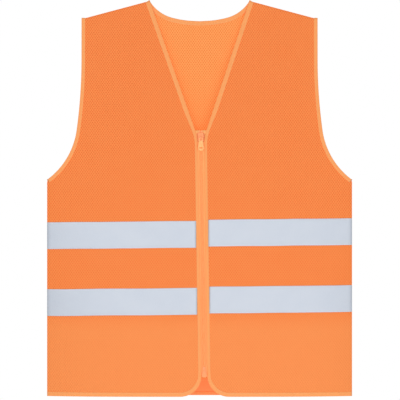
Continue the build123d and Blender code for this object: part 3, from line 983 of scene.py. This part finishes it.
def overlock_thread():
    """Fuzzy spun sewing thread."""
    base, shade = (0.99, 0.36, 0.11), (0.80, 0.20, 0.05)
    shader = Shader("overlock_thread", base, 0.7)
    vector, along, girth = shader.cloth_uv()
    twist = shader.wave(shader.math("ADD", along, girth), 0.0009)
    patch = shader.noise(vector, 400.0, 3.0)
    depth = shader.math("MULTIPLY_ADD", twist, 0.25, shader.times(patch, 0.6))
    shader.colour(shader.mix(depth, base, shade), CLOTH_PAINTED_GLOW)
    shader.set(Sheen_Weight=0.3)
    shader.bump(twist, 0.4, 0.0001)
    return shader.material


def hard_finish(name, base, shade, roughness, painted_side_shade=False):
    """Hard painted or moulded surface: slight orange peel, worn spots, and painted shade down the sides of
    the slider.
    """
    bare_metal = (0.60, 0.42, 0.30)
    shader = Shader(name, base, roughness)
    place = shader.add("ShaderNodeTexCoord").outputs["Object"]
    peel = shader.noise(place, 1400.0, 2.0)
    patch = shader.noise(place, 260.0, 4.0)
    worn = shader.math("GREATER_THAN", shader.noise(place, 900.0, 4.0), 0.70)
    colour = shader.mix(patch, base, shade)
    colour = shader.mix(shader.times(worn, 0.35), colour, bare_metal)
    if painted_side_shade:
        split = shader.add("ShaderNodeSeparateXYZ")
        shader.join(place, split.inputs[0])
        off_middle = shader.math("ABSOLUTE", shader.math("SUBTRACT", split.outputs["X"], ZIP_TOP.x))
        # painted shade: a darker band down each side of the slider, for the shadow along its edges
        side_shade = shader.step(off_middle, SLIDER_SIDE_SHADE_START, SLIDER_SIDE_SHADE_END)
        colour = shader.mix(side_shade, colour, SLIDER_SIDE_SHADE)
    # painted light: the hard parts glow like the cloth
    shader.colour(colour, CLOTH_PAINTED_GLOW)
    shader.set(Metallic=0.1, Coat_Weight=0.3)
    shader.bump(peel, 0.25, 0.0001)
    return shader.material


def floor_material():
    """Pale floor that fades out towards its rim."""
    shader = Shader("pale_floor", (0.92, 0.92, 0.92), 0.9)
    place = shader.add("ShaderNodeTexCoord").outputs["Object"]
    patch = shader.noise(place, 1.4)
    shader.colour(shader.mix(patch, (0.90, 0.90, 0.90), (0.94, 0.94, 0.94)), 0.22)
    reach = shader.add("ShaderNodeVectorMath", operation="LENGTH")
    shader.join(place, reach.inputs[0])
    clear = shader.add("ShaderNodeBsdfTransparent")
    faded = shader.add("ShaderNodeMixShader")
    fade = shader.step(reach.outputs["Value"], 0.5 * FLOOR_RADIUS, FLOOR_RADIUS)
    shader.join(fade, faded.inputs[0])
    shader.join(shader.surface.outputs[0], faded.inputs[1])
    shader.join(clear.outputs[0], faded.inputs[2])
    shader.join(faded.outputs[0], shader.tree.nodes["Material Output"].inputs["Surface"])
    return shader.material


# The vest
def keep(piece, body, slot, *nodes):
    """Lets a piece ride on one body, in the place of CAD nodes if any are named."""
    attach(piece, body)
    if nodes:
        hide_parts(*nodes)
    return piece


def bend(piece, side, slot, *nodes):
    """Bakes a piece's transform into its mesh and hides the CAD nodes that it stands in for."""
    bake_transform(piece)
    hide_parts(*nodes)
    return piece


def dress_back(back_cloth, edging, tape):
    """The back with its neck and hem bindings and its bands."""
    neck_edging = binding_tape("neck_edge_binding", NECK_BINDING)
    back = keep(back_panel(back_cloth), "root", "mesh_fabric", "back_panel")
    trim = [
        keep(neck_binding(neck_edging), "root", "edge_binding", "neck_binding"),
        keep(hem_binding(edging), "root", "edge_binding", "hem_binding"),
    ]
    for level in BAND_DROPS:
        strip = back_band(level, tape)
        trim.append(keep(strip, "root", "reflective_tape", f"back_band_{level}"))
    return back, trim


def dress_side(side, edging, thread):
    """Armhole binding and overlocked seams of one side."""
    name = SIDE_NAMES[side]
    trim = [keep(armhole_binding(side, edging), "root", "edge_binding", f"armhole_binding_{name}")]
    for seam, node in ((side_seam, "side_seam"), (shoulder_seam, "shoulder_seam")):
        ridge, wound = seam(side, thread)
        trim.append(keep(ridge, "root", "seam_thread", f"{node}_{name}"))
        trim.append(keep(wound, "root", "seam_thread"))
    return trim


def dress_front(side, cloth, edging, tape, ribbon, wire):
    """One front with its edge binding, bands, zip tape and half of the coil."""
    name = SIDE_NAMES[side]
    body = f"front_{name}"
    front = front_panel(side, cloth)
    bend(front, side, "mesh_fabric", f"front_outer_{name}", f"front_flap_{name}")
    edge = front_edge_binding(side, edging)
    trim = [bend(edge, side, "edge_binding", f"front_edge_binding_{name}")]
    for level in BAND_DROPS:
        nodes = [f"front_band_{level}_{part}_{name}" for part in ("outer", "flap")]
        trim.append(bend(front_band(side, level, tape), side, "reflective_tape", *nodes))
    trim.append(keep(zip_tape(side, ribbon), body, "zipper_tape", f"zipper_tape_{name}"))
    trim.append(keep(zip_coil(side, wire), body, "zipper_nylon", f"zipper_coil_{name}"))


def build_vest():
    """All cloth pieces of the vest, each riding on its body or baked in place."""
    cloth = mesh_fabric("mesh_fabric", CLOTH_ORANGE, CLOTH_PAINTED_GLOW, pale_share=0.32, hem_share=0.0)
    # painted light: the back's cloth is a darker copy of the mesh with a strong glow
    back_cloth = mesh_fabric("mesh_fabric_back", BACK_ORANGE, BACK_PAINTED_GLOW, pale_share=0.0, hem_share=0.85)
    edging = binding_tape("edge_binding", FRONT_EDGE_BINDING)
    tape = reflective_tape()
    thread = overlock_thread()
    ribbon = woven_tape()
    wire = nylon()
    back, on_back = dress_back(back_cloth, edging, tape)
    for side in SIDE_NAMES:
        on_back += dress_side(side, edging, thread)
        dress_front(side, cloth, edging, tape, ribbon, wire)


def dress_hardware():
    """Materials for the CAD nodes that stay in view."""
    slider = hard_finish("slider_paint", (1.0, 0.34, 0.10), (0.92, 0.25, 0.07), 0.35, painted_side_shade=True)
    tab = hard_finish("pull_tab_paint", (1.0, 0.475, 0.140), (0.96, 0.42, 0.12), 0.38)
    moulded = hard_finish("moulded_nylon", (1.0, 0.38, 0.14), (0.93, 0.29, 0.09), 0.4)
    looks = {"slider_body": (slider, "slider_paint"), "pull_tab": (tab, "slider_paint")}
    for name in ("retainer_box", "insertion_pin", "retainer_pin", "top_stop_left", "top_stop_right"):
        looks[name] = (moulded, "zipper_nylon")
    for name, (material, slot) in looks.items():
        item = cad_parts[name]
        item.data.materials.clear()
        item.data.materials.append(material)


# Studio
def light_panel(name, place, power):
    """Large soft light that faces the middle of the vest."""
    aim = Vector((0, 0, -LENGTH / 2))
    data = bpy.data.lights.new(name, "AREA")
    data.size = LIGHT_SIZE
    data.energy = power
    item = bpy.data.objects.new(name, data)
    item.location = place
    item.rotation_euler = (aim - Vector(place)).to_track_quat("-Z", "Y").to_euler()
    item.visible_camera = False
    bpy.context.scene.collection.objects.link(item)


def white_surroundings():
    """World that the camera sees as white, and that lights the vest half as much."""
    world = bpy.data.worlds.new("studio")
    bpy.context.scene.world = world
    world.use_nodes = True
    nodes, links = world.node_tree.nodes, world.node_tree.links
    seen = nodes.new("ShaderNodeBackground")
    seen.inputs["Color"].default_value = (1, 1, 1, 1)
    seen.inputs["Strength"].default_value = 1.0
    around = nodes["Background"]
    around.inputs["Color"].default_value = (1, 1, 1, 1)
    around.inputs["Strength"].default_value = 0.50
    rays = nodes.new("ShaderNodeLightPath")
    chosen = nodes.new("ShaderNodeMixShader")
    links.new(rays.outputs["Is Camera Ray"], chosen.inputs[0])
    links.new(around.outputs[0], chosen.inputs[1])
    links.new(seen.outputs[0], chosen.inputs[2])
    links.new(chosen.outputs[0], nodes["World Output"].inputs["Surface"])


def pale_floor():
    """Round floor well below the hanging vest."""
    angles = [2 * math.pi * i / FLOOR_CORNERS for i in range(FLOOR_CORNERS)]
    rim = [(FLOOR_RADIUS * math.cos(a), FLOOR_RADIUS * math.sin(a), 0.0) for a in angles]
    uvs = [(x, y) for x, y, _ in rim]
    floor = add_mesh("floor", rim, [tuple(range(FLOOR_CORNERS))], uvs, floor_material())
    floor.location.z = FLOOR_HEIGHT


def long_lens():
    """Camera straight in front of the vest."""
    data = bpy.data.cameras.new("camera")
    data.angle = 2 * math.atan(FRAME_WIDTH / 2 / (CAMERA_DISTANCE - FRONT_PLANE))
    camera = bpy.data.objects.new("camera", data)
    bpy.context.scene.collection.objects.link(camera)
    camera.location = (FRAME_MIDDLE[0], -CAMERA_DISTANCE, FRAME_MIDDLE[1])
    camera.rotation_euler = (math.pi / 2, 0, 0)
    bpy.context.scene.camera = camera


def studio():
    """White surroundings, soft lights, a pale floor, and a long lens."""
    bpy.context.scene.view_settings.view_transform = "Standard"
    white_surroundings()
    light_panel("key", (-0.9, -3.2, 0.5), 27)
    light_panel("fill", (1.1, -3.0, -0.9), 21)
    light_panel("back", (0.5, 2.8, 0.4), 30)
    pale_floor()
    long_lens()


build_vest()
dress_hardware()
studio()
